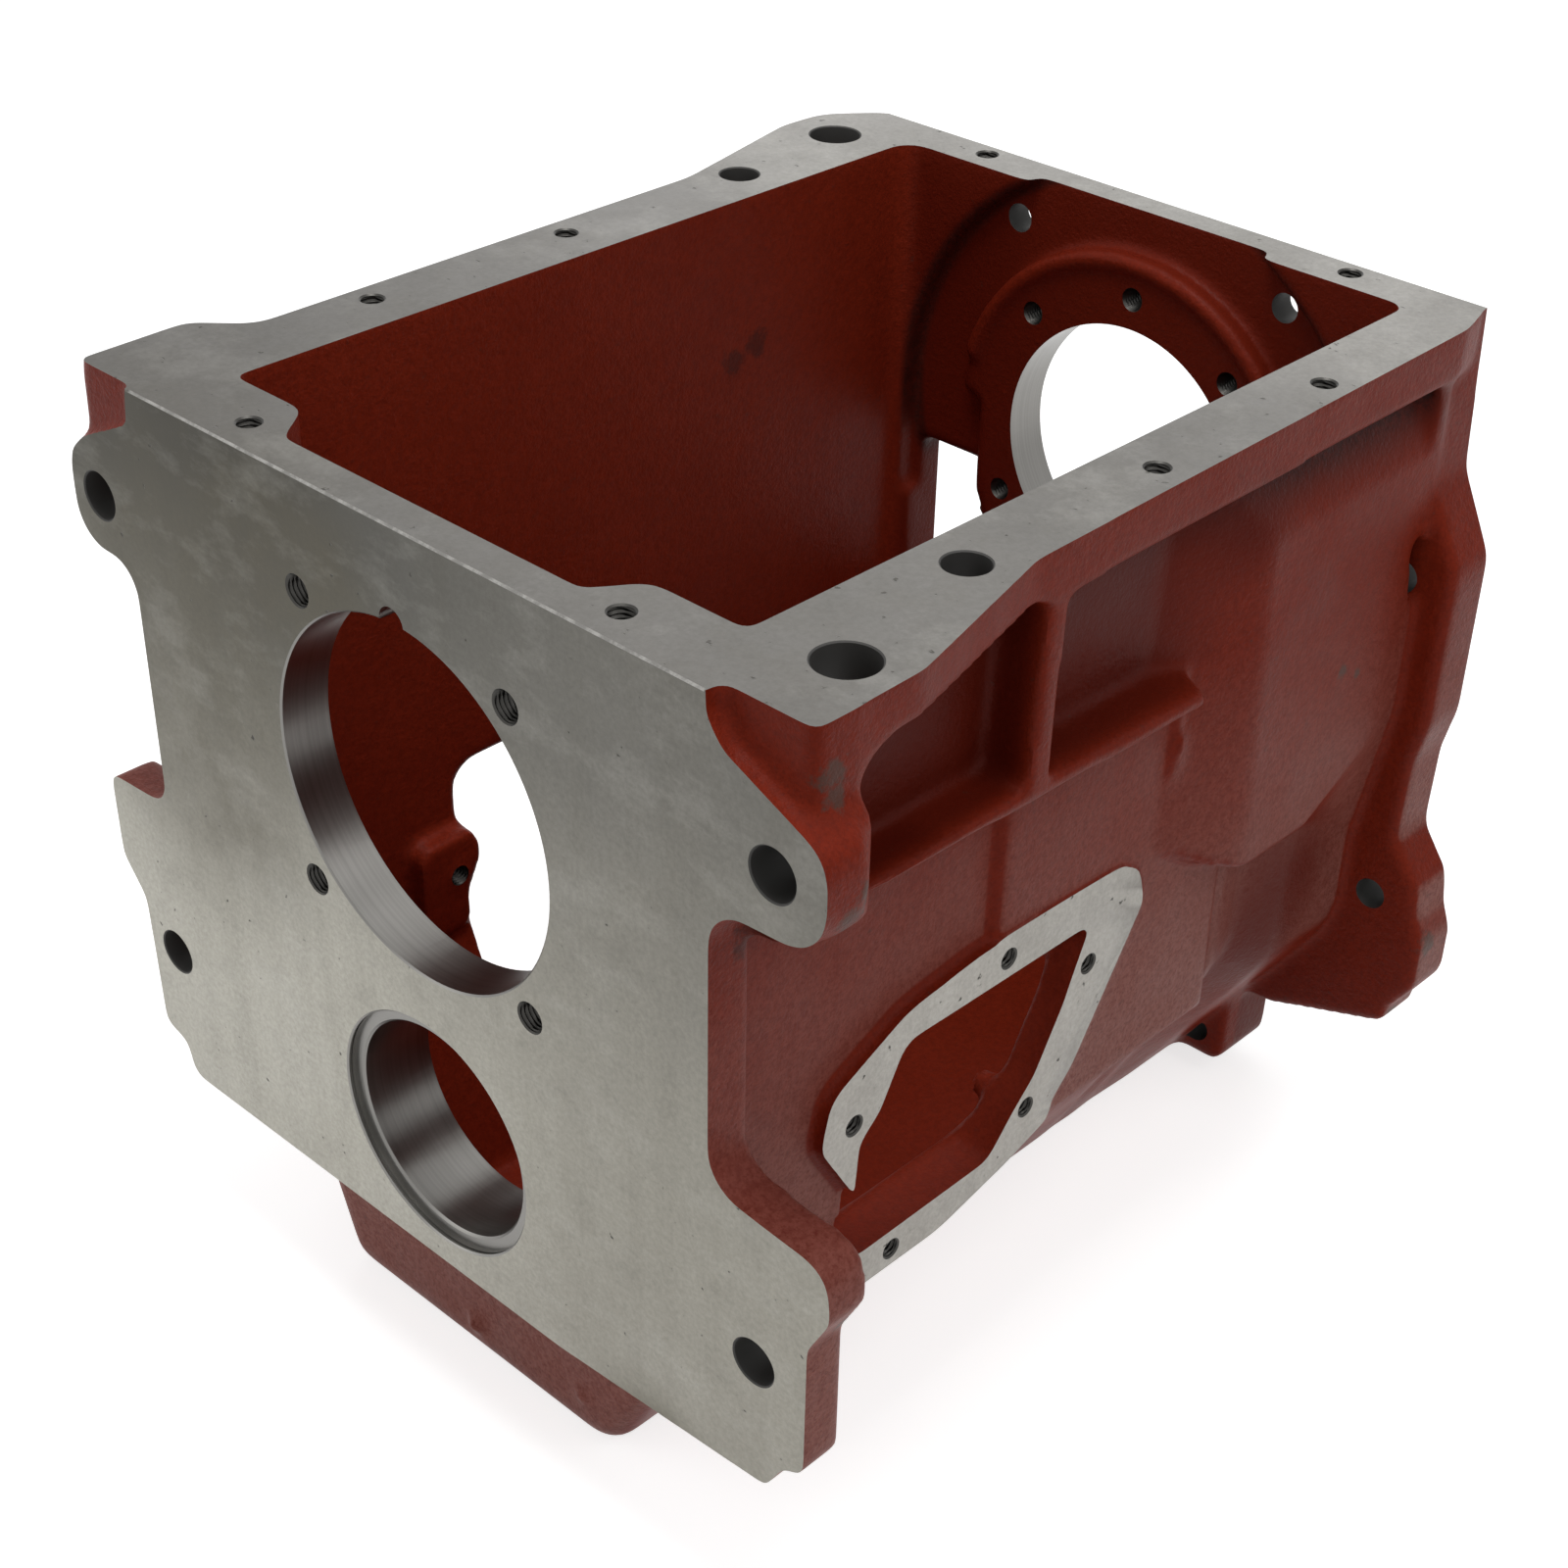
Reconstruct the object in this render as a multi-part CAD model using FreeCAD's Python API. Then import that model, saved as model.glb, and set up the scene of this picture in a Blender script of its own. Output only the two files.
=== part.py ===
import FreeCAD, Part
import math
import os

# Gearbox housing: one grey-iron casting with an open top.
# Origin: centre of the main shaft bore on the machined front face.
# +X is the side with the small inspection opening, +Y runs to the rear flange, +Z is up.

V = FreeCAD.Vector

# Overall sizes
length = 365.0
top_z = 95.0
bottom_z = -248.0
wall = 8.0
body_half_width = 120.0
sump_corner_z = -140.0
sump_half_left = 80.0
sump_half_right = 60.0
sump_gap = 2.5

# Front flange plate, its bolt lobes and cast corners
front_thick = 16.5
front_wall = 14.0
cast_step = 6.0
corner_back = 24.0
corner_arch_r = 17.0
far_cast_step = 2.5
far_corner_x = 156.5
rear_foot_z = -205.0
upper_bolt_x = 151.5
upper_bolt_z = 50.0
lower_bolt_left = 143.0
lower_bolt_right = 147.5
lower_bolt_z = -128.5
lobe_r = 17.5
waist_left = 136.5
waist_right = 128.0
front_bottom_z = -184.0
neck_low = front_bottom_z + 8
face_half_width = 127.0

# Top flange
top_thick = 18.0
flange_half_width = 141.0
bulge_half_width = 160.0
opening_half_width = 112.0
corner_boss_y = 30.0
corner_boss_drop = 45.0
opening_corner_r = 9.0

# Shaft bores
main_bore_r = 62.5
main_boss_r = 81.0
main_seat = 18.5
lower_bore_r = 40.0
lower_bore_z = -128.5
lower_seat = 31.0
lower_boss_r = 52.0
snap_recess_r = 45.0
snap_recess = 3.0
oil_notch_r = 5.5
oil_notch_x = -2.0
rear_bore_r = 52.5
rear_boss_r = 79.0
rear_wall = 19.0
rear_recess_r = 107.0
rear_recess = 7.0
rear_recess_low = -45.0
rear_lower_bore_r = 36.0

# Bolt holes
retainer_tap_r = 5.4
retainer_circle_r = 73.0
retainer_top_angle = 40.3
retainer_low_angle = 45.0
flange_bolt_r = 8.3
top_tap_r = 4.8
top_tap_depth = 22.0
top_clear_r = 7.4
top_dowel_r = 9.8
top_row_left = 131.5
top_row_right = 128.5
top_hole_y1 = 100.0
top_hole_pitch = 86.7
top_end_x = 82.0
top_front_y = 13.0
top_rear_gap = 7.5
dowel_x = 141.5
dowel_y = 37.0
rear_dowel_x = 137.0
rear_dowel_gap = 33.5
rear_bolt_r = 6.2
rear_bolt_x = 128.5
rear_top_bolt_r = 5.5
rear_top_bolt_x = 60.5
rear_top_bolt_z = 77.0
rear_seal_tap_r = 4.3
rear_seal_circle_r = 64.0

# Rear flange
rear_thick = 21.0
rear_top_x = 131.5
rear_half_width = 149.0
rear_lobe_x = 138.0
rear_lobe_z = -132.0
lug_thick = 30.0
lug_x = 75.0
lug_z = -226.0
lug_r = 13.0

# Side features
pad_x = 125.0
pad_tap_r = 4.3
pad_tap_depth = 22.0
ledge_x = 139.0
ledge_z = 2.0
ledge_thick = 12.0
ledge_edge = 5.0
ledge_climb = 7.0
pocket_lift = 2.5
rib_y = 131.0
rib_thick = 9.5
panel_x = 135.0
panel_y = 213.0
panel_low_y = 197.0
panel_low_slope = 58.0
panel_bottom_z = -80.0
panel_slope = 32.0
nut_pocket_deep = 7.0
nut_pocket_half = 18.0
step_y = 133.0
step_rise = 4.0
flare_y = 250.0
flute_depth = 2.5
flare_crest_y = 304.0
flare_rise = 4.0
flare_root_rise = 5.5
haunch_y = 292.0
haunch_rise = 32.0


def to_plane(plane, a, b, offset):
    """Point with in-plane coordinates a, b on plane xy, xz or yz at the given offset."""
    if plane == "xy":
        return V(a, b, offset)
    if plane == "xz":
        return V(a, offset, b)
    return V(offset, a, b)


def outline(points, plane, offset):
    """Closed wire through corner points (a, b, radius), each corner rounded by its radius."""
    corners = []
    count = len(points)
    for i, (a, b, r) in enumerate(points):
        pa, pb, _ = points[i - 1]
        na, nb, _ = points[(i + 1) % count]
        back = V(pa - a, pb - b, 0)
        ahead = V(na - a, nb - b, 0)
        room = 0.48 * min(back.Length, ahead.Length)
        back.normalize()
        ahead.normalize()
        half = back.getAngle(ahead) / 2
        if r <= 0 or half > math.radians(89):
            corners.append(((a, b), None, (a, b)))
            continue
        cut = min(r / math.tan(half), room)
        r = cut * math.tan(half)
        way = back + ahead
        way.normalize()
        reach = r / math.sin(half) - r
        start = (a + back.x * cut, b + back.y * cut)
        middle = (a + way.x * reach, b + way.y * reach)
        end = (a + ahead.x * cut, b + ahead.y * cut)
        corners.append((start, middle, end))
    edges = []
    for i, (start, middle, end) in enumerate(corners):
        if middle is not None:
            arc = [to_plane(plane, *point, offset) for point in (start, middle, end)]
            edges.append(Part.Arc(*arc).toShape())
        here = to_plane(plane, *end, offset)
        there = to_plane(plane, *corners[(i + 1) % count][0], offset)
        if here.distanceToPoint(there) > 1e-6:
            edges.append(Part.LineSegment(here, there).toShape())
    return Part.Wire(edges)


def prism(points, plane, low, high):
    """Solid of a rounded outline between two offsets of its plane."""
    face = Part.Face(outline(points, plane, low))
    return face.extrude(to_plane(plane, 0, 0, high - low))


def box(x, y, z):
    """Block between pairs of x, y and z."""
    return Part.makeBox(x[1] - x[0], y[1] - y[0], z[1] - z[0], V(x[0], y[0], z[0]))


def rod(centre, radius, axis, low, high):
    """Cylinder along x, y or z, from low to high, through the two other coordinates in centre."""
    a, b = centre
    base = {"x": V(low, a, b), "y": V(a, low, b), "z": V(a, b, low)}[axis]
    way = {"x": V(1, 0, 0), "y": V(0, 1, 0), "z": V(0, 0, 1)}[axis]
    return Part.makeCylinder(radius, high - low, base, way)


def on_circle(radius, degrees):
    """Point (x, z) on a circle about the main bore, in degrees clockwise from the top."""
    angle = math.radians(degrees)
    return (radius * math.sin(angle), radius * math.cos(angle))


def mirrored(points):
    """The same outline on the other side of the centre plane, run the other way."""
    return [(-a, b, r) for a, b, r in reversed(points)]


def front_face():
    """Machined front face, seen from the front: waist, four bolt lobes and the foot edge."""
    left, right = upper_bolt_x + lobe_r - 3, upper_bolt_x + lobe_r + 2
    lobe_top, lobe_low = upper_bolt_z + 14, upper_bolt_z - lobe_r - 3
    block_top = lower_bolt_z + 66
    return [
        (-face_half_width, top_z, 0), (-face_half_width - 2, top_z - 13, 4), (-left, lobe_top, 18),
        (-left, lobe_low, 18), (-waist_left, lobe_low + 1, 12), (-waist_left, block_top, 9),
        (-lower_bolt_left - 27.5, block_top - 2, 4), (-lower_bolt_left - 27, lower_bolt_z + 30, 8),
        (-lower_bolt_left - 16, lower_bolt_z + 16, 10), (-lower_bolt_left - 14, lower_bolt_z - 39, 5),
        (-lower_bolt_left - 2, lower_bolt_z - 42, 4), (-lower_bolt_left + 1, front_bottom_z, 6),
        (60, front_bottom_z, 60), (lower_bolt_right + 6, front_bottom_z + 7, 4),
        (lower_bolt_right + 13, lower_bolt_z - 36, 3), (lower_bolt_right + 21.5, lower_bolt_z - 32, 4),
        (lower_bolt_right + 21.5, lower_bolt_z + 20, 6), (lower_bolt_right + 30, lower_bolt_z + 36, 8),
        (lower_bolt_right + 28, block_top - 12, 12), (waist_right, block_top - 8, 14),
        (waist_right, lobe_low - 1, 14), (right, lobe_low + 2, 17), (right, lobe_top - 1, 13),
        (face_half_width + 6, top_z - 15, 6), (face_half_width, top_z - 7, 4),
        (face_half_width, top_z, 0)]


def cast_corner():
    """Cast web beside the machined face, from the top flange down to an upper lobe."""
    right = upper_bolt_x + lobe_r + 2
    inner = body_half_width - wall
    return [
        (inner, top_z, 0), (bulge_half_width, top_z, 0), (bulge_half_width, upper_bolt_z + lobe_r + 1, 8),
        (right, upper_bolt_z + 8, 8), (right, upper_bolt_z - lobe_r - 1, 17),
        (waist_right, upper_bolt_z - lobe_r - 4, 14), (inner, upper_bolt_z - lobe_r - 20, 0)]


def far_corner_web():
    """The same web on the far side, which drops straight from the flange corner."""
    left = upper_bolt_x + lobe_r - 3
    inner = body_half_width - wall
    return [
        (-inner, top_z, 0), (-inner, upper_bolt_z - lobe_r - 20, 0),
        (-waist_left, upper_bolt_z - lobe_r - 2, 12), (-left, upper_bolt_z - lobe_r - 3, 18),
        (-left, upper_bolt_z + 14, 18), (-far_corner_x - 2, upper_bolt_z + 17, 4),
        (-far_corner_x, top_z, 0)]


def top_plan():
    """Top flange seen from above, with the dowel bulges on two opposite corners."""
    back = length - rear_dowel_gap
    return [
        (-face_half_width, 0, 0), (-face_half_width, far_cast_step, 0),
        (-far_corner_x, far_cast_step, 3), (-far_corner_x - 1, 44, 10), (-flange_half_width, 60, 14),
        (-flange_half_width - 1, back - 74, 40), (-bulge_half_width + 2, back - 7, 25),
        (-bulge_half_width + 3, back + 14, 22), (-flange_half_width, length, 9),
        (rear_top_x, length, 8), (flange_half_width - 4, length - 20, 20),
        (flange_half_width, dowel_y + 79, 14), (bulge_half_width - 1, dowel_y + 11, 14),
        (bulge_half_width, cast_step, 4), (face_half_width, cast_step, 0), (face_half_width, 0, 0)]


def opening_plan():
    """Top opening seen from above, with bolt bosses left standing in its front corners."""
    x, back = opening_half_width, length - rear_wall - 0.5
    return [
        (-x, corner_boss_y, 3), (-top_end_x + 4, corner_boss_y, 10), (-top_end_x + 16, front_wall, 6),
        (top_end_x - 20, front_wall, 6), (top_end_x - 8, corner_boss_y, 10), (x, corner_boss_y, 4),
        (x, back, 5), (-x, back, opening_corner_r)]


def rear_face():
    """Rear flange seen from the rear: stepped bolt lobes, alike on both sides."""
    lobe, foot = rear_half_width + 13, rear_foot_z
    right = [
        (rear_top_x, top_z, 0), (rear_top_x + 3, 37, 14), (rear_half_width, 8, 14),
        (rear_half_width, -54, 20), (rear_half_width - 4, -72, 14),
        (rear_half_width - 5, rear_lobe_z + 26, 12), (lobe - 6, rear_lobe_z + 10, 8),
        (lobe - 4, rear_lobe_z - 4, 4), (lobe, rear_lobe_z - 14, 6), (lobe, rear_lobe_z - 34, 9),
        (lobe - 10, foot + 24, 3), (lobe - 10, foot + 18, 6), (lug_x + 25, foot, 3),
        (sump_half_right, foot, 0)]
    return right + mirrored(right)


def body_section(inset=0.0, rise=0.0):
    """Body section seen from the front, drawn in by inset or swelled outward by rise."""
    side = body_half_width - inset + rise
    floor = bottom_z + inset
    bend = 45 - inset
    corner = sump_corner_z + 0.45 * inset - 1.9 * rise
    return [
        (-side, top_z, 0), (side, top_z, 0), (side, corner, bend),
        (sump_half_right - inset, floor, 17 - inset),
        (-sump_half_left + inset, floor, 12 - inset), (-side, corner, bend)]


def body():
    """Box body over its tapered sump, which starts behind the front flange and swells at the rear."""
    shape = prism(body_section(), "xz", front_thick + sump_gap, flare_y)
    start = front_thick + sump_gap + 0.01
    lower_rim = [edge for edge in shape.Edges
                 if edge.BoundBox.YMax < start and edge.BoundBox.ZMax < sump_corner_z + 40]
    shape = shape.makeFillet(9, lower_rim)
    stations = [(flare_y, 0), (flare_y + 8, -flute_depth), (flare_y + 18, 0),
                (flare_y + 32, -flute_depth), (flare_crest_y, flare_rise), (length, flare_root_rise)]
    wires = [outline(body_section(rise=rise), "xz", y) for y, rise in stations]
    barrel = Part.makeLoft(wires, True, True)
    x = body_half_width
    neck = prism([(-x, top_z, 0), (x, top_z, 0), (x, sump_corner_z - 6, 20), (x - 28, neck_low, 12),
                  (-x + 20, neck_low, 12), (-x, sump_corner_z - 6, 20)],
                 "xz", cast_step, front_thick + sump_gap + 30)
    return shape.multiFuse([neck, barrel])


def corner():
    """Thick web between an upper lobe and the top flange, arched into the flange behind."""
    inner = body_half_width - wall / 2
    right = upper_bolt_x + lobe_r + 2
    end = corner_back + corner_arch_r + 2
    plan = [(inner, cast_step, 0), (right, cast_step, 0), (right, front_thick - 2, 4),
            (bulge_half_width, corner_back + 6, 12), (bulge_half_width, end, 0), (inner, end, 0)]
    web = prism(cast_corner(), "xz", cast_step, corner_back)
    arch = box((inner, bulge_half_width), (corner_back - 1, end),
               (top_z - top_thick - corner_arch_r, top_z - top_thick + 1))
    arch = arch.common(prism(top_plan(), "xy", bottom_z, top_z))
    return web.fuse(arch).common(prism(plan, "xy", upper_bolt_z - 60, top_z))


def ledge():
    """Ledge below the pockets: it thins outward and climbs a little towards the front flange."""
    tip = panel_y + 10
    root = [(front_thick - 1, ledge_z + ledge_climb, 0), (tip, ledge_z, 0), (tip, ledge_z + ledge_thick, 0),
            (front_thick - 1, ledge_z + ledge_climb + ledge_thick, 0)]
    drop = (ledge_thick - ledge_edge) / 2
    edge = [(front_thick - 1, ledge_z + ledge_climb + drop, 0), (tip - 10, ledge_z + drop, 0),
            (tip - 10, ledge_z + ledge_thick - drop, 0),
            (front_thick - 1, ledge_z + ledge_climb + ledge_thick - drop, 0)]
    wires = [outline(root, "yz", body_half_width - wall / 2), outline(edge, "yz", ledge_x)]
    return Part.makeLoft(wires, True, True)


def rib():
    """Upright rib that splits the space between ledge and top flange, broader at its head."""
    half = rib_thick / 2
    under = top_z - top_thick
    middle = ledge_z + ledge_thick / 2
    points = [(rib_y - half - 3, middle, 0), (rib_y + half - 2, middle, 0),
              (rib_y + half - 2, ledge_z + ledge_thick, 12), (rib_y + half, under, 12),
              (rib_y + half + 12, under + 2, 0), (rib_y - half, under + 2, 0)]
    return prism(points, "yz", body_half_width - wall / 2, ledge_x)


def pocket():
    """Hollow under the dowel bulge, up into the top flange, between front flange and rib."""
    high = ledge_z + ledge_thick
    back = rib_y - rib_thick / 2
    ceiling = top_z - top_thick + pocket_lift
    points = [(corner_back, ceiling, corner_arch_r), (corner_back, high, 3), (back - 3, high, 8),
              (back, ceiling, 8)]
    return prism(points, "yz", body_half_width, bulge_half_width + 20)


def panel():
    """Raised rear panel: its slanted front widens downward, its lower edge is bevelled."""
    x = body_half_width - wall / 2
    back = length - rear_thick + 1
    high = top_z - top_thick / 2
    wires = []
    for z, front, slope in ((panel_bottom_z, panel_low_y, panel_low_slope), (high, panel_y, panel_slope)):
        wires.append(outline([(x, front, 0), (body_half_width, front, 3), (panel_x, front + slope, 10),
                              (panel_x, back, 0), (x, back, 0)], "xy", z))
    plan = Part.makeLoft(wires, True, True)
    ridge = panel_low_y + panel_low_slope
    side = prism([(panel_low_y - 5, high, 0), (panel_low_y - 5, panel_bottom_z + 36, 0),
                  (ridge - 16, panel_bottom_z + 7, 14), (ridge, panel_bottom_z, 8),
                  (haunch_y, panel_bottom_z, 0), (back, panel_bottom_z + haunch_rise, 0), (back, high, 0)],
                 "yz", x, panel_x + 1)
    return plan.common(side)


def nut_pocket():
    """Pocket in front of the rear flange that clears the upper flange bolt."""
    y = length - rear_thick
    points = [(y - nut_pocket_deep, nut_pocket_half - 3, 3), (y, nut_pocket_half + 4, 3),
              (y, -nut_pocket_half - 14, 3), (y - 1, -nut_pocket_half, 2)]
    return prism(points, "yz", body_half_width + 1, panel_x + 20)


def side_step():
    """Slightly raised field of the side wall behind the opening's front half."""
    x = body_half_width
    return box((x - wall / 2, x + step_rise), (step_y, flare_y + 10), (sump_corner_z - 8, ledge_z + 1))


def haunch():
    """Slope that fades the panel's lower edge into the rear flange."""
    x = body_half_width - wall / 2
    low, side = panel_bottom_z, body_half_width
    near = [(x, low, 0), (panel_x, low, 0), (side + 1, low - 9, 0), (x, low - 9, 0)]
    far = [(x, low + haunch_rise, 0), (panel_x, low + haunch_rise, 0),
           (side + flare_root_rise, low - haunch_rise, 0), (x, low - haunch_rise, 0)]
    back = length - rear_thick + 1
    return Part.makeLoft([outline(near, "xz", haunch_y), outline(far, "xz", back)], True, True)


def turned(shape):
    """The same form on the opposite corner: half a turn about the case's upright centre line."""
    copy = shape.copy()
    copy.rotate(V(0, length / 2, 0), V(0, 0, 1), 180)
    return copy


# Side pads and their openings (y, z, corner radius)
pad_outline = [
    (56, -74, 12), (52, -92, 6), (67, -117, 4), (68, -150, 4), (66, -162, 5), (112, -162, 30),
    (146, -154, 12), (167, -147, 5),
    (168, -139, 5), (178, -129, 10), (210, -76, 6), (206, -62, 7), (196, -56, 8), (125, -54, 20),
    (90, -58, 30)]
pad_opening = [
    (66, -147, 6), (136, -146, 8), (148, -132, 8), (158, -122, 8), (171, -98, 4), (174, -90, 4),
    (182, -71, 2), (90, -70, 8), (79, -91, 8), (70, -99, 6)]
pad_holes = [(67, -90), (139, -63), (183, -88), (155, -134), (88, -155)]
left_pad_outline = [(86, -66, 14), (262, -66, 14), (262, -224, 14), (86, -224, 14)]
left_opening = [(107, -84, 10), (242, -84, 10), (242, -206, 10), (107, -206, 10)]
left_pad_holes = [(135, -75), (216, -75), (135, -215), (216, -215)]
left_bosses = [(99.5, -124), (248.5, -124)]
boss_rise = 17.0
boss_drop = 24.0
rear_window = [
    (-104, -28, 3), (-70, -28, 3), (-69, -44, 8), (-54, -58, 10), (-48, -78, 8), (-66, -96, 10),
    (-104, -96, 8)]
rear_panel = [(-108, 3, 4), (-70, 3, 3), (-70, -50, 3), (-108, -50, 4)]


def corner_boss(side):
    """Solid corner left under the top flange for a front cover bolt."""
    inner = top_end_x - 17
    points = [(side * bulge_half_width, 0, 0), (side * bulge_half_width, corner_boss_y, 0),
              (side * (top_end_x - 6), corner_boss_y, 10), (side * inner, front_wall, 6),
              (side * (inner - 5), 0, 0)]
    return prism(points, "xy", top_z - corner_boss_drop, top_z)


def cavity():
    """Everything inside: the box, the sump, the top opening and the stepped rear wall."""
    back = length - rear_wall
    x, y = opening_half_width, front_wall
    inner = prism(body_section(inset=wall), "xz", y, back)
    upright = [(-x, y, 8), (x, y, 8), (x, back, 6), (-x, back, opening_corner_r)]
    inner = inner.common(prism(upright, "xy", bottom_z, top_z))
    sump_end = box((-body_half_width, body_half_width), (0, front_thick + sump_gap + wall),
                   (bottom_z, neck_low + wall))
    standing = [sump_end, corner_boss(-1), corner_boss(1),
                rod((0, 0), main_boss_r, "y", 0, main_seat),
                rod((0, lower_bore_z), lower_boss_r, "y", 0, lower_seat)]
    inner = inner.cut(Part.Compound(standing))
    mouth = prism(opening_plan(), "xy", top_z - corner_boss_drop, top_z + 1)
    ring = rod((0, 0), rear_recess_r, "y", back - 1, back + rear_recess)
    ring = ring.cut(rod((0, 0), rear_boss_r, "y", back - 2, back + rear_recess))
    ring = ring.common(box((-x, x), (0, length), (rear_recess_low, top_z + 1)))
    return inner.fuse([mouth, ring])


def top_holes():
    """Cover bolts, two clearance holes and two dowel holes; each long side is the other turned round."""
    low, high = top_z - top_thick - 1, top_z + 1
    rows = [(-top_row_left, 2), (top_row_right, 0)]
    cuts = []
    for x, clear_place in rows:
        for place in range(3):
            radius = top_clear_r if place == clear_place else top_tap_r
            cuts.append(rod((x, top_hole_y1 + place * top_hole_pitch), radius, "z", low, high))
    for side in (-1, 1):
        for y in (top_front_y, length - top_rear_gap):
            cuts.append(rod((side * top_end_x, y), top_tap_r, "z", top_z - top_tap_depth, high))
    cuts.append(rod((dowel_x, dowel_y), top_dowel_r, "z", low, high))
    cuts.append(rod((-rear_dowel_x, length - rear_dowel_gap), top_dowel_r, "z", low, high))
    return cuts


def front_holes():
    """Retainer taps round the main bore and the four flange bolts."""
    through = front_thick + 30
    cuts = []
    for side in (-1, 1):
        for angle in (retainer_top_angle, 180 - retainer_low_angle):
            cuts.append(rod(on_circle(retainer_circle_r, side * angle), retainer_tap_r, "y", -1, through))
        lower_x = lower_bolt_left if side < 0 else lower_bolt_right
        for x, z in ((upper_bolt_x, upper_bolt_z), (lower_x, lower_bolt_z)):
            cuts.append(rod((side * x, z), flange_bolt_r, "y", -1, corner_back + 1))
    return cuts


def rear_holes():
    """Flange bolts on both sides and the bearing retainer's five taps."""
    low, high = length - lug_thick - 1, length + 1
    rows = [(rear_top_bolt_x, rear_top_bolt_z, rear_top_bolt_r), (rear_bolt_x, 0, rear_bolt_r),
            (rear_lobe_x, rear_lobe_z, rear_bolt_r), (lug_x, lug_z, rear_bolt_r)]
    cuts = [rod((side * x, z), radius, "y", low, high) for x, z, radius in rows for side in (-1, 1)]
    for angle in (-120, -45, 0, 45, 120):
        cuts.append(rod(on_circle(rear_seal_circle_r, angle), rear_seal_tap_r, "y", low, high))
    return cuts


def side_holes():
    """Blind cover taps in both side pads and in the far bosses."""
    deep = pad_x - pad_tap_depth
    near = [rod(centre, pad_tap_r, "x", deep, pad_x + 1) for centre in pad_holes]
    far = [rod(centre, pad_tap_r, "x", -pad_x - 1, -deep) for centre in left_pad_holes + left_bosses]
    return near + far


def far_bosses():
    """Two tapped bosses inside the far opening, one at each end of it."""
    bosses = []
    for (y, z), way in zip(left_bosses, (1, -1)):
        low, high = z - boss_drop, z + boss_rise
        points = [(y - 17 * way, high, 6), (y + 8 * way, high, 6), (y + 13 * way, z + 6, 8),
                  (y + 5 * way, z - 10, 8), (y + 5 * way, low, 3), (y - 17 * way, low, 5)]
        bosses.append(prism(points, "yz", -pad_x, -body_half_width + wall + 8))
    return bosses


def lug(side):
    """Foot of the rear flange beside the sump."""
    low = lug_z - lug_r
    points = [(side * (lug_x - 28), lug_z + 36, 0), (side * (lug_x - 12), low, 8),
              (side * (lug_x + lug_r), low, 6), (side * (lug_x + lug_r + 1), lug_z + 36, 0)]
    return prism(points, "xz", length - lug_thick, length)


def outer_form():
    """Body, flanges, webs and pads, before anything inside is taken out."""
    x = body_half_width - wall
    flanges = [prism(front_face(), "xz", 0, front_thick), corner(),
               prism(far_corner_web(), "xz", far_cast_step, front_thick),
               prism(top_plan(), "xy", top_z - top_thick, top_z),
               prism(rear_face(), "xz", length - rear_thick, length), lug(-1), lug(1)]
    pads = [prism(pad_outline, "yz", x - 20, pad_x), prism(left_pad_outline, "yz", -pad_x, -x + 30)]
    webs = [ledge(), rib()]
    sides = webs + [turned(web) for web in webs] + [panel(), haunch(), side_step()]
    form = body().multiFuse(flanges + pads + sides)
    return form.cut(Part.Compound([pocket(), turned(pocket())]))


def bores():
    """Shaft bores of both walls, the snap ring's recess and the oil notch."""
    back = length - rear_wall
    return [
        rod((0, 0), main_bore_r, "y", -1, main_seat + 1),
        rod((oil_notch_x, main_bore_r), oil_notch_r, "y", -1, main_seat + 1),
        rod((0, lower_bore_z), lower_bore_r, "y", -1, lower_seat + 1),
        rod((0, lower_bore_z), snap_recess_r, "y", -1, snap_recess),
        rod((0, 0), rear_bore_r, "y", back - 1, length + 1),
        rod((0, lower_bore_z), rear_lower_bore_r, "y", back - 1, length + 1)]


def windows():
    """Side openings, rear window and the two shallow pockets."""
    back = length - rear_wall
    return [
        prism(pad_opening, "yz", pad_x - 40, pad_x + 1),
        prism(rear_window, "xz", back - 1, length + 1),
        prism(rear_panel, "xz", back - 1, back + rear_recess),
        nut_pocket()]


def housing():
    """The finished case."""
    shape = outer_form().cut(cavity())
    shape = shape.cut(prism(left_opening, "yz", -pad_x - 1, -pad_x + 50))
    shape = shape.multiFuse(far_bosses())
    holes = top_holes() + front_holes() + rear_holes() + side_holes()
    return shape.cut(Part.Compound(bores() + windows() + holes))


os.makedirs("parts", exist_ok=True)
part = housing().removeSplitter()
solid = part.Solids[0]
print("solids", len(part.Solids), "valid", solid.isValid(), "volume", round(solid.Volume / 1e3), "cm3")
solid.exportStep("parts/gearbox_housing.step")
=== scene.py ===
import math

import bmesh
import bpy
from mathutils import Matrix, Vector


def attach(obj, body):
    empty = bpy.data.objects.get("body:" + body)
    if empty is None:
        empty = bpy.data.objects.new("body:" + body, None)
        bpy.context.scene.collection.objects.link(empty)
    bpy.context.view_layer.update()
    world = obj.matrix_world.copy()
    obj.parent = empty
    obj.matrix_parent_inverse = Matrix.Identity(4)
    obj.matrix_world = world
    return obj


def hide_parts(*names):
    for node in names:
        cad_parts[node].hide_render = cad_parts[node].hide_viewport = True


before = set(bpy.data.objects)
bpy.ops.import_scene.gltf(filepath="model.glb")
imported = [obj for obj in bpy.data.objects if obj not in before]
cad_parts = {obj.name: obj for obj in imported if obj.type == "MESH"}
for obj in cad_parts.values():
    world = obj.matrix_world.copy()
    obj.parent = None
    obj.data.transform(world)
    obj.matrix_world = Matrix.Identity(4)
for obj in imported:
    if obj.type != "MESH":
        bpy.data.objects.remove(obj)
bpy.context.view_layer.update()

# Gearbox housing: a primed grey-iron casting with bare machined faces, bores and tapped holes.
# Lengths are in millimetres, apart from the studio's, and become metres where geometry is made.
MM = 0.001

# Slots of the finished piece
PAINT, FACE, BORE, THREAD, HOLE, EDGE = range(6)

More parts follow.
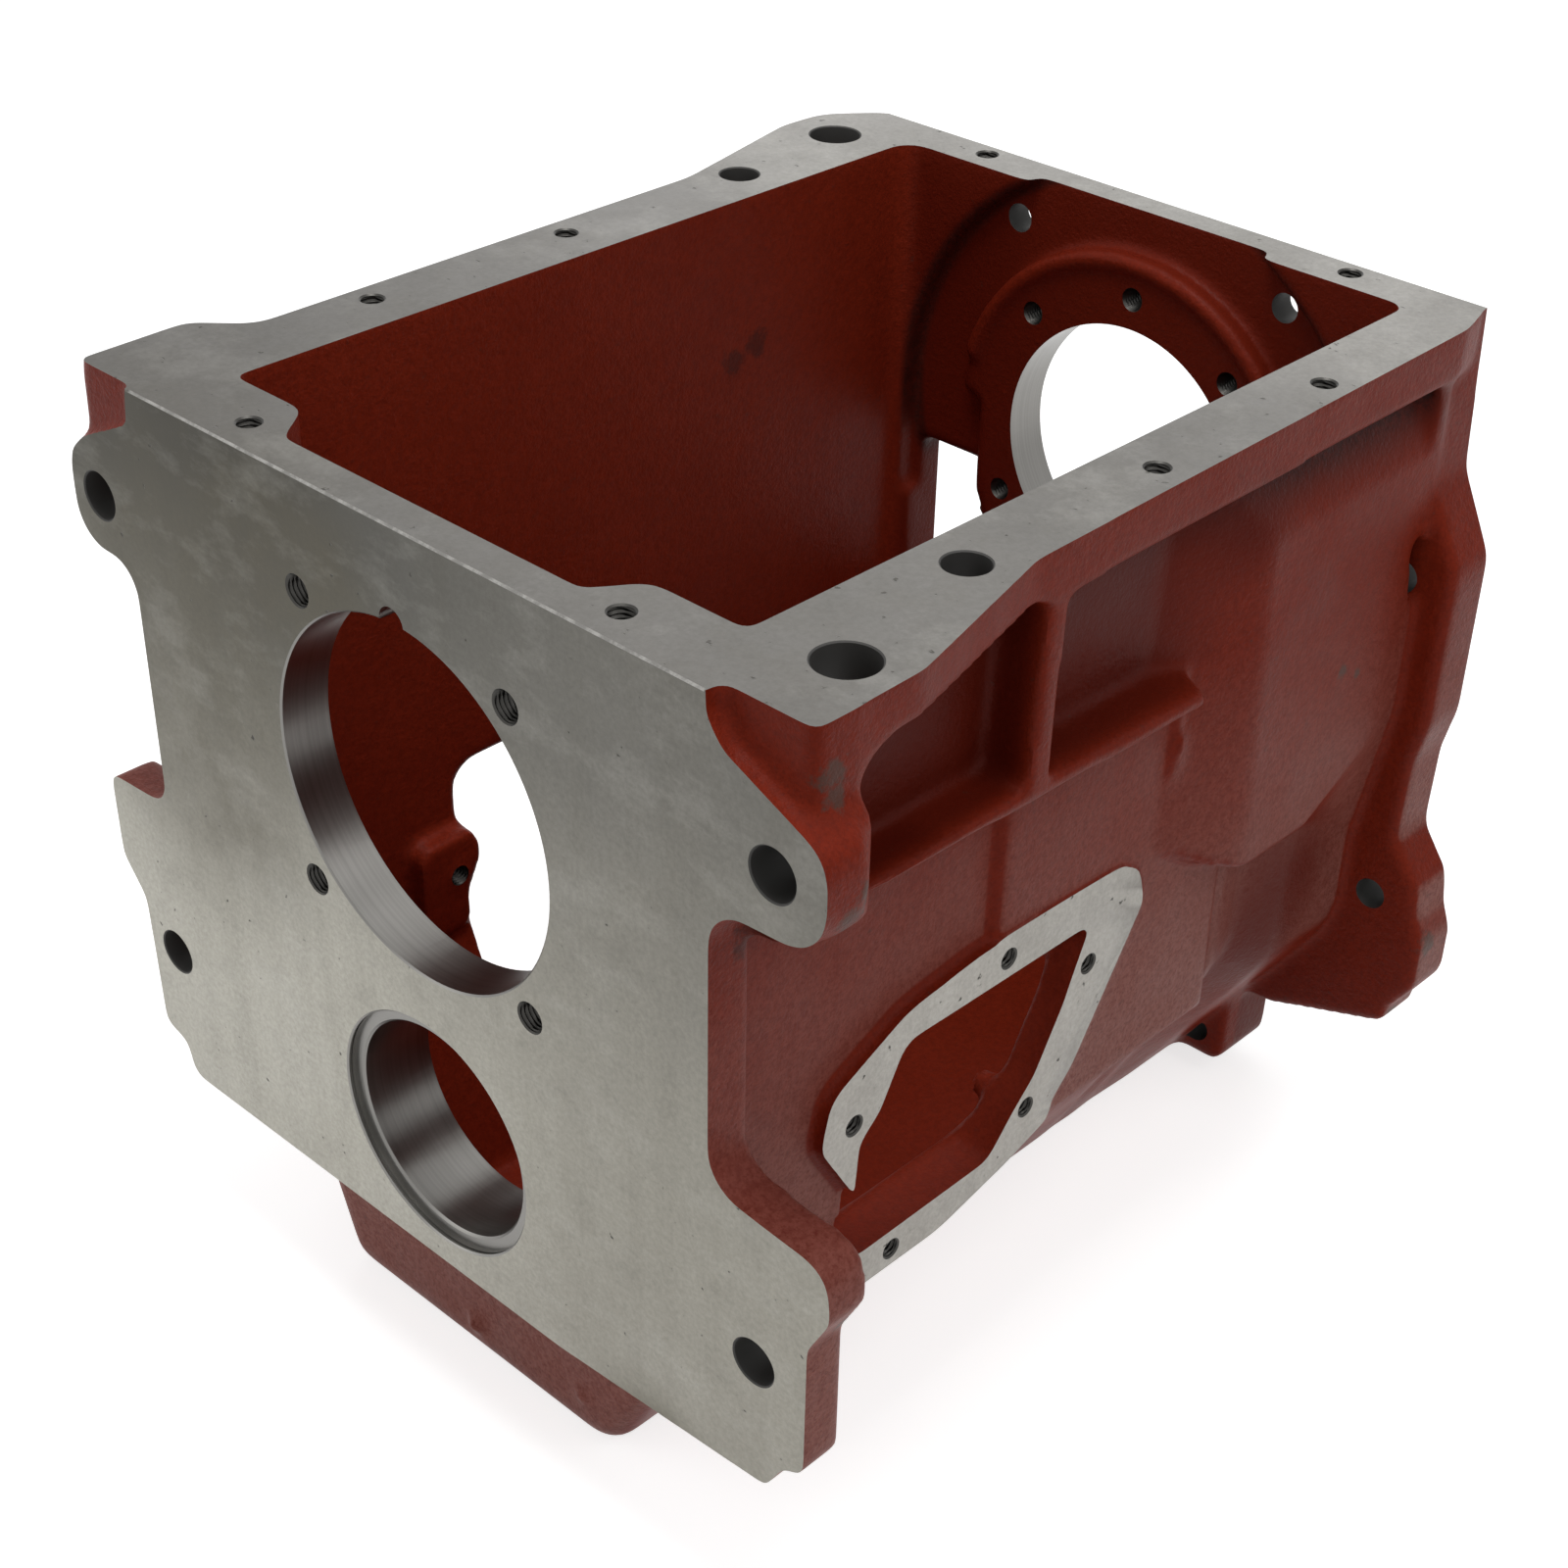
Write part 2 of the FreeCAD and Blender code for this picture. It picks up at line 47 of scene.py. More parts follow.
# Machined planes, the extra metal the rough casting carries on each, and a box round it all
FRONT_Y = 0.0
REAR_Y = 365.0
TOP_Z = 95.0
PAD_X = 125.0
STOCK = 4.0
CASE_X = (-200.0, 200.0)
CASE_Y = (-40.0, 400.0)
CASE_Z = (-280.0, 130.0)

# Side pads: how far their cutters reach out, and the y and z spans of the near and far one
PAD_REACH = 14.0
NEAR_PAD = ((48, 211), (-170, -48))
FAR_PAD = ((78, 272), (-232, -58))

# Rough casting: grain of the mesh, softness of its corners, and tolerances in metres
CAST_VOXEL = 1.8
CAST_SMOOTHING = 11
SMOOTHING_FACTOR = 0.5
CAST_TRIANGLES = 134000
MERGE_WITHIN = 1e-6
ON_PLANE = 1e-5
PLUG_FILL = 0.6
PLUG_SEGMENTS = 24
BORE_PLUG_SEGMENTS = 64
SHARP_ANGLE = math.radians(38)

# Cove under the top flange, along the top of the raised rear panel: y span and section (x, z)
COVE_Y = (232.0, 338.0)
COVE_SECTION = [(126.0, 77.0), (138.5, 77.0), (138.5, 42.0)]

# Rounded bead along the crest of the inner rear boss
BEAD_RING_R = 77.0
BEAD_R = 3.6
BEAD_Y = 346.6
BEAD_HALF_ANGLE = 75.0
BEAD_STEPS = 48
BEAD_SIDES = 12

# Small lumps the mould left on the sump's front: centre and radius
NUBS = [((-8.0, 19.5, -233.0), 4.2), ((47.5, 19.5, -229.5), 3.0)]

# Broken edge between the front and top faces: width, half length, half side of its cutter
EDGE_BREAK = 0.65
EDGE_HALF_X = 126.5
EDGE_HALF = 10.0

# Shaft bores: radii, depths of their walls, and how far a cutter runs past a wall
MAIN_BORE_R = 62.5
MAIN_SEAT = 18.5
LOWER_BORE_R = 40.0
LOWER_BORE_Z = -128.5
LOWER_SEAT = 31.0
REAR_BORE_R = 52.5
REAR_LOWER_R = 36.0
REAR_WALL_Y = 346.0
BORE_CHAMFER = 0.6
BORE_OVER = 6.0
REAR_OVER = 5.0
BORE_SEGMENTS = 128

# Recess at the mouth of the lower bore, with a thin groove, and the chamfer behind it
SNAP_R = 45.0
SNAP_DEPTH = 3.0
GROOVE_Y = (1.1, 1.9)
GROOVE_DEPTH = 0.7
SEAT_CHAMFER = 0.8

# Oil notch at the top of the main front bore
NOTCH_R = 5.5
NOTCH_X = -2.0
NOTCH_Y = (-2, 22.5)
NOTCH_SEGMENTS = 32

# Front flange: bolt holes as (x, z), of which the corner one is deeper, and retainer taps
FLANGE_Y = 16.5
CORNER_Y = 24.0
CORNER_BOLT = (151.5, 50.0)
FRONT_BOLTS = [(-151.5, 50.0), CORNER_BOLT, (-143.0, -128.5), (147.5, -128.5)]
FRONT_BOLT_R = 8.3
RETAINER_R = 73.0
RETAINER_TAP_R = 5.4
RETAINER_ANGLES = (40.3, -40.3, 135, -135)

# Top flange: holes as (x, y)
TOP_THICK = 18.0
TOP_TAP_DEPTH = 22.0
TOP_TAP_R = 4.8
TOP_CLEAR_R = 7.4
DOWEL_R = 9.8
TOP_END_TAPS = [(-82.0, 13.0), (82.0, 13.0), (-82.0, 357.5), (82.0, 357.5)]
TOP_SIDE_TAPS = [(-131.5, 100.0), (-131.5, 186.7), (128.5, 186.7), (128.5, 273.4)]
TOP_CLEAR = [(-131.5, 273.4), (128.5, 100.0)]
DOWELS = [(141.5, 37.0), (-137.0, 331.5)]

# Rear flange: bolt holes as x of either side, z, y where they start, radius; and the seal's taps
REAR_BOLTS = [(60.5, 77.0, 353.0, 5.5), (128.5, 0.0, 344.0, 6.2), (138.0, -132.0, 344.0, 6.2),
              (75.0, -226.0, 335.0, 6.2)]
SEAL_TAP_R = 4.3
SEAL_R = 64.0
SEAL_ANGLES = (-120, -45, 0, 45, 120)

# Side pads: taps as (y, z)
NEAR_PAD_TAPS = [(67, -90), (139, -63), (183, -88), (155, -134), (88, -155)]
FAR_PAD_TAPS = [(135, -75), (216, -75), (135, -215), (216, -215)]
FAR_BOSS_TAPS = [(99.5, -124), (248.5, -124)]
PAD_TAP_R = 4.3
PAD_TAP_DEPTH = 22.0

# Cutters of all holes: reach past the face, width of the bevel and its depth as a share of that
HOLE_OVER = 1.5
TAP_BEVEL = 0.9
HOLE_BEVEL = 0.7
BEVEL_SLOPE = 0.6
RING_GAP = 0.01
HOLE_SEGMENTS = 48
TAP_SEGMENTS = 28
THREAD_PITCH = 1.5
THREAD_DEPTH = 0.8
THREAD_INSET = 0.6
RINGS_PER_TURN = 4

# Colours, as linear values
PAINT_DARK = (0.190, 0.0175, 0.0060)
PAINT_LIGHT = (0.225, 0.0230, 0.0085)
PAINT_GRAIN = (0.120, 0.0120, 0.0050)
# Dust with a painted sheen: a paler, greyer red for outward faces low down
PAINT_DUST_AND_SHEEN = (0.285, 0.100, 0.078)
# Painted shade, a deeper red for pockets, hollows and the inner rear wall; painted shadow, near
# black, for the crease under the top flange
PAINTED_SHADE = (0.100, 0.0090, 0.0035)
PAINTED_CREASE_SHADOW = (0.020, 0.0035, 0.0025)
# Grime for the smudges, also used as painted shade in the ring at the edge of the rear recess
PAINT_GRIME_AND_SHADE = (0.022, 0.010, 0.008)
WORN_IRON = (0.085, 0.062, 0.050)
# Front and top tones of the milled iron are a painted reflection: the front dark at the top and
# pale low down, the top dark at the front and pale to the rear
FRONT_UPPER_LEFT = (0.040, 0.038, 0.031)
FRONT_LOWER_LEFT = (0.425, 0.411, 0.358)
FRONT_UPPER_RIGHT = (0.150, 0.144, 0.128)
FRONT_LOWER_RIGHT = (0.300, 0.287, 0.246)
TOP_NEAR = (0.124, 0.118, 0.109)
TOP_FAR = (0.205, 0.197, 0.182)
PAD_IRON = (0.36, 0.345, 0.315)
WIPED_IRON = (0.55, 0.54, 0.50)
FACE_GRAIN = (0.050, 0.046, 0.038)
STAIN = (0.085, 0.074, 0.048)
# Broken edge: iron lighter than the faces beside it, partly a painted highlight, with bright
# nicks
EDGE_DULL = (0.22, 0.214, 0.20)
EDGE_BRIGHT = (0.36, 0.35, 0.33)
# Hole walls darkened as painted shade inside the holes
TAPPED_IRON_SHADED = (0.058, 0.056, 0.052)
DRILLED_IRON_SHADED = (0.050, 0.048, 0.045)
BORE_DARK = (0.19, 0.184, 0.173)
BORE_LIGHT = (0.235, 0.228, 0.215)
PAINT_GLOSS = 0.07

# Dust and painted sheen on the paint: how far a face has to face outward, from which x the flank
# counts, where the sump's front begins, the heights between which it thickens, and how much its
# edge drifts
DUST_SHEEN_FACING = (0.90, 0.985)
DUST_SHEEN_FLANK_X = (100, 110)
DUST_SHEEN_FRONT_Y = (24, 21.5)
DUST_SHEEN_Z = (20, -120)
DUST_SHEEN_DRIFT = 20

# Painted shade in the pockets under the top flange and a painted shadow in the crease above the
# raised panel. Each pair of ramps bounds them from both sides: outward from the middle, upward,
# along from either end
POCKET_OUT = ((138.5, 130), (112, 118))
POCKET_Z = ((4, 16), (88, 76))
POCKET_ALONG = ((14, 26), (235, 200))
CREASE_Z = ((48, 74), (78.5, 77.5))
CREASE_ALONG = ((180, 230), (350, 340))

# Inner side of the rear wall, darkened as painted shade, and the ring of painted shade at the
# outer edge of its recess
INNER_REAR_Y = (343.2, 345.8)
INNER_REAR_X = (114, 110)
INNER_REAR_SHADE = 0.6
RECESS_R = 107.0
RECESS_RIM = (4.5, 1.0)
RECESS_SHADE = 0.75

# Hollows of the flank under its raised panel, darkened as painted shade: point, reach and
# stretch
HOLLOWS = [((118, 293, -140), 42, (1, 1, 0.6)), ((118, 313, -112), 32, (1, 1, 0.7)),
           ((134, 236, 58), 30, (1, 1, 1))]
HOLLOW_SHADE = 0.88

# Worn spots and dark smudges on the paint: point and reach
RUBBED = [((160, 12, 79), 9), ((161, 13, 72), 8), ((171, 9, 64), 5), ((170, 17, 47), 9),
          ((168, 11, 41), 9), ((169, 12, -90), 10), ((173, 14, -104), 10), ((162, 354, -101), 9),
          ((162, 353, -126), 9), ((161, 351, -147), 9), ((152, 352, -186), 8),
          ((135, 302, -19), 5), ((135, 312, -24), 4)]
SMUDGED = [((-112, 264, 37), 10), ((-112, 251, 33), 9), ((131, 15, 12), 14)]
MARK_EDGE = (1.85, 2.25)

# Stained and peppered parts of the front face: point, reach and stretch
STAINS = [((-112, 0, 0), 96, (1, 1, 0.75)), ((-60, 0, 60), 60, (0.8, 1, 1.2)),
          ((104, 0, -200), 40, (1, 1, 1))]
PEPPERED = ((140, 0, -205), 40)

# Milled faces, whose tones carry a painted reflection: where the front grows pale downward and
# dull to the left, and the top pale towards the rear; how far cloudy noise moves those borders;
# margins that tell faces apart
FRONT_PALE_Z = (88, -100)
FRONT_SIDE_X = (-90, 110)
TOP_PALE_Y = (220, 320)
CLOUD_DRIFT = 0.14
TOP_FROM_Z = TOP_Z - 0.8
REAR_FROM_Y = REAR_Y - 0.5
MIDDLE_Y = 180
PAD_WITHIN_Y = 176

# Studio, in metres: floor under the sump, white surround, lamps as name, place, size and power
FLOOR_Z = -0.2481
FLOOR_REACH = 30.0
FLOOR_COLOUR = (0.82, 0.82, 0.82)
FLOOR_ROUGHNESS = 0.9
FLOOR_LIFT = 0.72
WHITE = (1, 1, 1, 1)
WORLD_FILL = 0.25
LAMP_TARGET = (0, 0.18, -0.05)
LAMPS = [("key", (1.00, 0.35, 1.10), 0.8, 3.4), ("overhead", (0.05, 0.05, 1.20), 0.5, 7),
         ("front_right", (0.85, -0.85, 0.85), 0.6, 1.2), ("back_left", (-0.9, 1.5, 0.9), 1.4, 6),
         ("front_left", (-1.2, -1.0, 0.35), 1.0, 3)]

# The photograph's camera, solved from the case's right angles: place and directions
CAMERA_PLACE = (534.31, -403.49, 434.43)
CAMERA_RIGHT = (0.720488, 0.693232, 0.01805)
CAMERA_UP = (-0.406349, 0.400947, 0.821049)
CAMERA_BACK = (0.561941, -0.598891, 0.570572)
CAMERA_LENS = 60.095
CAMERA_SENSOR = 36.0
CAMERA_SHIFT = 0.0625
CAMERA_CLIP = 0.05


def on_circle(radius, degrees):
    """Point (x, z) at an angle clockwise from the top."""
    turn = math.radians(degrees)
    return (radius * math.sin(turn), radius * math.cos(turn))


def axis_frame(axis, centre):
    """Matrix that puts local +Z along a case axis through an in-plane centre."""
    a, b = centre
    if axis == "x":
        turn, place = Matrix.Rotation(math.radians(90), 4, "Y"), (0, a, b)
    elif axis == "y":
        turn, place = Matrix.Rotation(math.radians(-90), 4, "X"), (a, 0, b)
    else:
        turn, place = Matrix.Identity(4), (a, b, 0)
    return Matrix.Translation(Vector(place) * MM) @ turn


# Solids that the casting is made or cut with


def tube(bm, loops, slot=PAINT):
    """Closed skin over loops of vertices that follow each other."""
    count = len(loops[0])
    made = []
    for low, high in zip(loops, loops[1:]):
        for i in range(count):
            j = (i + 1) % count
            made.append(bm.faces.new((low[i], low[j], high[j], high[i])))
    made += [bm.faces.new(list(reversed(loops[0]))), bm.faces.new(loops[-1])]
    for face in made:
        face.material_index = slot
    return made


def rings_solid(bm, rings, matrix, slot, segments):
    """Closed turned solid through rings of (height, radius as a number or function of angle)."""
    loops = []
    for height, radius in rings:
        loop = []
        for i in range(segments):
            angle = 2 * math.pi * i / segments
            r = radius(angle) if callable(radius) else radius
            point = Vector((r * math.cos(angle), r * math.sin(angle), height)) * MM
            loop.append(bm.verts.new(matrix @ point))
        loops.append(loop)
    tube(bm, loops, slot)


def block(bm, x, y, z, slot):
    """Axis-aligned block between pairs of x, y and z."""
    made = bmesh.ops.create_cube(bm, size=1.0)
    for vert in made["verts"]:
        vert.co = Vector([(low + high) / 2 + (high - low) * part
                          for (low, high), part in zip((x, y, z), vert.co)]) * MM
    for face in {face for vert in made["verts"] for face in vert.link_faces}:
        face.material_index = slot


def wedge(bm, span, section):
    """Prism along y whose section is a list of (x, z)."""
    loops = [[bm.verts.new(Vector((x, y, z)) * MM) for x, z in section] for y in span]
    bmesh.ops.recalc_face_normals(bm, faces=tube(bm, loops))


def crest_bead(bm):
    """Closed bead swept along the upper part of the rear boss's rim."""
    loops = []
    for i in range(BEAD_STEPS + 1):
        angle = BEAD_HALF_ANGLE * (2 * i / BEAD_STEPS - 1)
        loop = []
        for j in range(BEAD_SIDES):
            turn = 2 * math.pi * j / BEAD_SIDES
            x, z = on_circle(BEAD_RING_R + BEAD_R * math.cos(turn), angle)
            loop.append(bm.verts.new(Vector((x, BEAD_Y + BEAD_R * math.sin(turn), z)) * MM))
        loops.append(loop)
    bmesh.ops.recalc_face_normals(bm, faces=tube(bm, loops))


def new_object(name, bm, materials):
    mesh = bpy.data.meshes.new(name)
    bm.to_mesh(mesh)
    bm.free()
    for material in materials:
        mesh.materials.append(material)
    obj = bpy.data.objects.new(name, mesh)
    bpy.context.scene.collection.objects.link(obj)
    return obj


def applied(obj):
    """Replaces the object's mesh with the result of its modifiers."""
    bpy.context.view_layer.update()
    graph = bpy.context.evaluated_depsgraph_get()
    mesh = bpy.data.meshes.new_from_object(obj.evaluated_get(graph), depsgraph=graph)
    obj.modifiers.clear()
    obj.data = mesh


def cut_away(body, bm, materials):
    """Takes a solid, whose faces carry their own slots, out of the body."""
    cutter = new_object("cutter", bm, materials)
    boolean = body.modifiers.new("cut", "BOOLEAN")
    boolean.operation = "DIFFERENCE"
    boolean.solver = "MANIFOLD"
    boolean.object = cutter
    applied(body)
    bpy.data.objects.remove(cutter)


# Holes as rows of axis, centre, radius, low, high, mouth sides and whether tapped


def front_holes():
    for centre in FRONT_BOLTS:
        depth = CORNER_Y if centre == CORNER_BOLT else FLANGE_Y
        yield ("y", centre, FRONT_BOLT_R, FRONT_Y, depth, "low", False)
    for degrees in RETAINER_ANGLES:
        centre = on_circle(RETAINER_R, degrees)
        yield ("y", centre, RETAINER_TAP_R, FRONT_Y, MAIN_SEAT, "low", True)


def top_holes():
    for centre in TOP_END_TAPS:
        yield ("z", centre, TOP_TAP_R, TOP_Z - TOP_TAP_DEPTH, TOP_Z, "blind high", True)
    for centre in TOP_SIDE_TAPS:
        yield ("z", centre, TOP_TAP_R, TOP_Z - TOP_THICK, TOP_Z, "high", True)
    for centre in TOP_CLEAR:
        yield ("z", centre, TOP_CLEAR_R, TOP_Z - TOP_THICK, TOP_Z, "high", False)
    for centre in DOWELS:
        yield ("z", centre, DOWEL_R, TOP_Z - TOP_THICK, TOP_Z, "high", False)


def rear_holes():
    for x, z, start, radius in REAR_BOLTS:
        for side in (-1, 1):
            yield ("y", (side * x, z), radius, start, REAR_Y, "high", False)
    for degrees in SEAL_ANGLES:
        centre = on_circle(SEAL_R, degrees)
        yield ("y", centre, SEAL_TAP_R, REAR_WALL_Y, REAR_Y, "low", True)


def pad_holes():
    for centre in NEAR_PAD_TAPS:
        yield ("x", centre, PAD_TAP_R, PAD_X - PAD_TAP_DEPTH, PAD_X, "high", True)
    for centre in FAR_PAD_TAPS + FAR_BOSS_TAPS:
        yield ("x", centre, PAD_TAP_R, -PAD_X, -PAD_X + PAD_TAP_DEPTH, "low", True)


def hole_rows():
    return [*front_holes(), *top_holes(), *rear_holes(), *pad_holes()]


def threaded_rings(radius, low, high):
    """Rings of a screw surface: the groove's depth follows height and angle together."""
    def groove(height):
        def at(angle):
            turn = (height / THREAD_PITCH - angle / (2 * math.pi)) % 1.0
            return radius - THREAD_INSET + THREAD_DEPTH * (1 - abs(2 * turn - 1))
        return at
    count = max(2, int((high - low) / THREAD_PITCH * RINGS_PER_TURN))
    heights = [low + (high - low) * i / count for i in range(count + 1)]
    return [(height, groove(height)) for height in heights]


def hole_cutter(bm, axis, centre, radius, low, high, mouth, tapped):
    """Cutter of one hole: bevelled where it opens at low or high, threaded if it is tapped."""
    bevel = TAP_BEVEL if tapped else HOLE_BEVEL
    wide = radius if tapped else radius + bevel
    narrow = wide - bevel
    if "low" in mouth:
        first = [(low - HOLE_OVER, wide + HOLE_OVER), (low + bevel * BEVEL_SLOPE, narrow)]
    else:
        first = [(low if "blind" in mouth else low - HOLE_OVER, radius)]
    if "high" in mouth:
        inner_high = high - bevel * BEVEL_SLOPE
        last = [(inner_high, narrow), (high + HOLE_OVER, wide + HOLE_OVER)]
    else:
        inner_high = high + HOLE_OVER
        last = [(inner_high, radius)]
    if tapped:
        wall = threaded_rings(radius, first[-1][0] + RING_GAP, inner_high - RING_GAP)
        rings = first[:1] + wall + last
        rings_solid(bm, rings, axis_frame(axis, centre), THREAD, TAP_SEGMENTS)
    else:
        rings_solid(bm, first + last, axis_frame(axis, centre), HOLE, HOLE_SEGMENTS)


# Shaft bores as rings of (y, radius)


def front_mouth(radius):
    return [(-BORE_OVER, radius + BORE_CHAMFER + BORE_OVER), (BORE_CHAMFER, radius)]


def lower_front_bore():
    """The lower bore with its wider recess, the thin groove in that, and the chamfer behind."""
    start, end = GROOVE_Y
    groove_r = SNAP_R + GROOVE_DEPTH
    groove = [(start, SNAP_R), (start, groove_r), (end, groove_r), (end, SNAP_R)]
    seat = [(SNAP_DEPTH, SNAP_R), (SNAP_DEPTH, LOWER_BORE_R + SEAT_CHAMFER),
            (SNAP_DEPTH + SEAT_CHAMFER, LOWER_BORE_R), (LOWER_SEAT + BORE_OVER, LOWER_BORE_R)]
    return front_mouth(SNAP_R) + groove + seat


def rear_bore(radius):
    return [(REAR_WALL_Y - REAR_OVER, radius), (REAR_Y - BORE_CHAMFER, radius),
            (REAR_Y + BORE_OVER, radius + BORE_CHAMFER + BORE_OVER)]


def bore_rows():
    """Axis point (x, z) and rings of each shaft bore's cutter."""
    main = front_mouth(MAIN_BORE_R) + [(MAIN_SEAT + BORE_OVER, MAIN_BORE_R)]
    return [((0, 0), main), ((0, LOWER_BORE_Z), lower_front_bore()),
            ((0, 0), rear_bore(REAR_BORE_R)), ((0, LOWER_BORE_Z), rear_bore(REAR_LOWER_R))]


# The casting


def coved_copy(node, materials):
    """Copy of the node's mesh, with the cove cut under its top flange."""
    bm = bmesh.new()
    bm.from_mesh(node.data)
    bmesh.ops.remove_doubles(bm, verts=bm.verts, dist=MERGE_WITHIN)
    plain = new_object("plain", bm, materials)
    cove = bmesh.new()
    wedge(cove, COVE_Y, COVE_SECTION)
    cut_away(plain, cove, materials)
    bm = bmesh.new()
    bm.from_mesh(plain.data)
    bpy.data.objects.remove(plain)
    return bm


def add_stock(bm):
    """Moves the machined planes out by the metal that machining takes off."""
    planes = ((1, FRONT_Y, -1), (1, REAR_Y, 1), (2, TOP_Z, 1), (0, PAD_X, 1), (0, -PAD_X, -1))
    for vert in bm.verts:
        for axis, level, way in planes:
            if abs(vert.co[axis] - level * MM) < ON_PLANE:
                vert.co[axis] += way * STOCK * MM


def plug_holes(bm):
    """Fills every hole and bore, so that smoothing leaves their places whole."""
    for axis, centre, radius, low, high, _, _ in hole_rows():
        wide = radius + PLUG_FILL
        rings_solid(bm, [(low, wide), (high, wide)], axis_frame(axis, centre), PAINT,
                    PLUG_SEGMENTS)
    for low, high, radius, z in ((FRONT_Y, MAIN_SEAT, MAIN_BORE_R, 0.0),
                                 (FRONT_Y, LOWER_SEAT, SNAP_R, LOWER_BORE_Z),
                                 (REAR_WALL_Y, REAR_Y, REAR_BORE_R, 0.0),
                                 (REAR_WALL_Y, REAR_Y, REAR_LOWER_R, LOWER_BORE_Z)):
        wide = radius + PLUG_FILL
        rings_solid(bm, [(low, wide), (high, wide)], axis_frame("y", (0, z)), PAINT,
                    BORE_PLUG_SEGMENTS)


def cast_skin(body):
    """One even skin over all that was joined, its corners softened as sand leaves them."""
    remesh = body.modifiers.new("skin", "REMESH")
    remesh.mode = "VOXEL"
    remesh.voxel_size = CAST_VOXEL * MM
    soften = body.modifiers.new("soften", "SMOOTH")
    soften.factor = SMOOTHING_FACTOR
    soften.iterations = CAST_SMOOTHING
    applied(body)
    triangles = 2 * len(body.data.polygons)
    if triangles > CAST_TRIANGLES:
        thin = body.modifiers.new("thin", "DECIMATE")
        thin.ratio = CAST_TRIANGLES / triangles
        applied(body)


def rough_casting(node, materials):
    """The casting before machining: extra metal on its planes, no holes, softened corners."""
    bm = coved_copy(node, materials)
    add_stock(bm)
    plug_holes(bm)
    crest_bead(bm)
    for place, size in NUBS:
        bmesh.ops.create_icosphere(bm, subdivisions=2, radius=size * MM,
                                   matrix=Matrix.Translation(Vector(place) * MM))
    body = new_object("casting", bm, materials)
    cast_skin(body)
    body.data.materials.clear()
    for material in materials:
        body.data.materials.append(material)
    count = len(body.data.polygons)
    body.data.polygons.foreach_set("material_index", [PAINT] * count)
    body.data.polygons.foreach_set("use_smooth", [True] * count)
    return body


def machined_planes(body, materials):
    """Cuts the three main machined planes and the two side pads."""
    near_y, near_z = NEAR_PAD
    far_y, far_z = FAR_PAD
    blocks = [(CASE_X, (CASE_Y[0], FRONT_Y), CASE_Z), (CASE_X, (REAR_Y, CASE_Y[1]), CASE_Z),
              (CASE_X, CASE_Y, (TOP_Z, CASE_Z[1])), ((PAD_X, PAD_X + PAD_REACH), near_y, near_z),
              ((-PAD_X - PAD_REACH, -PAD_X), far_y, far_z)]
    for x, y, z in blocks:
        bm = bmesh.new()
        block(bm, x, y, z, FACE)
        cut_away(body, bm, materials)


def broken_edge(body, materials):
    """Takes the sharp edge off between the front and top faces."""
    bm = bmesh.new()
    half = (-EDGE_HALF, EDGE_HALF)
    block(bm, (-EDGE_HALF_X, EDGE_HALF_X), half, half, EDGE)
    outward = Vector((0, -math.sqrt(0.5), math.sqrt(0.5)))
    tip = EDGE_HALF - EDGE_BREAK / math.sqrt(2)
    corner = Vector((0, FRONT_Y, TOP_Z)) * MM
    turn = Matrix.Rotation(math.radians(45), 4, "X")
    bmesh.ops.transform(bm, matrix=Matrix.Translation(corner + outward * tip * MM) @ turn,
                        verts=bm.verts)
    cut_away(body, bm, materials)


def bores_and_holes(body, materials):
    bm = bmesh.new()
    for centre, rings in bore_rows():
        rings_solid(bm, rings, axis_frame("y", centre), BORE, BORE_SEGMENTS)
    for row in hole_rows():
        hole_cutter(bm, *row)
    bmesh.ops.recalc_face_normals(bm, faces=bm.faces)
    cut_away(body, bm, materials)
    bm = bmesh.new()
    start, end = NOTCH_Y
    rings_solid(bm, [(start, NOTCH_R), (end, NOTCH_R)],
                axis_frame("y", (NOTCH_X, MAIN_BORE_R)), BORE, NOTCH_SEGMENTS)
    cut_away(body, bm, materials)


# Materials


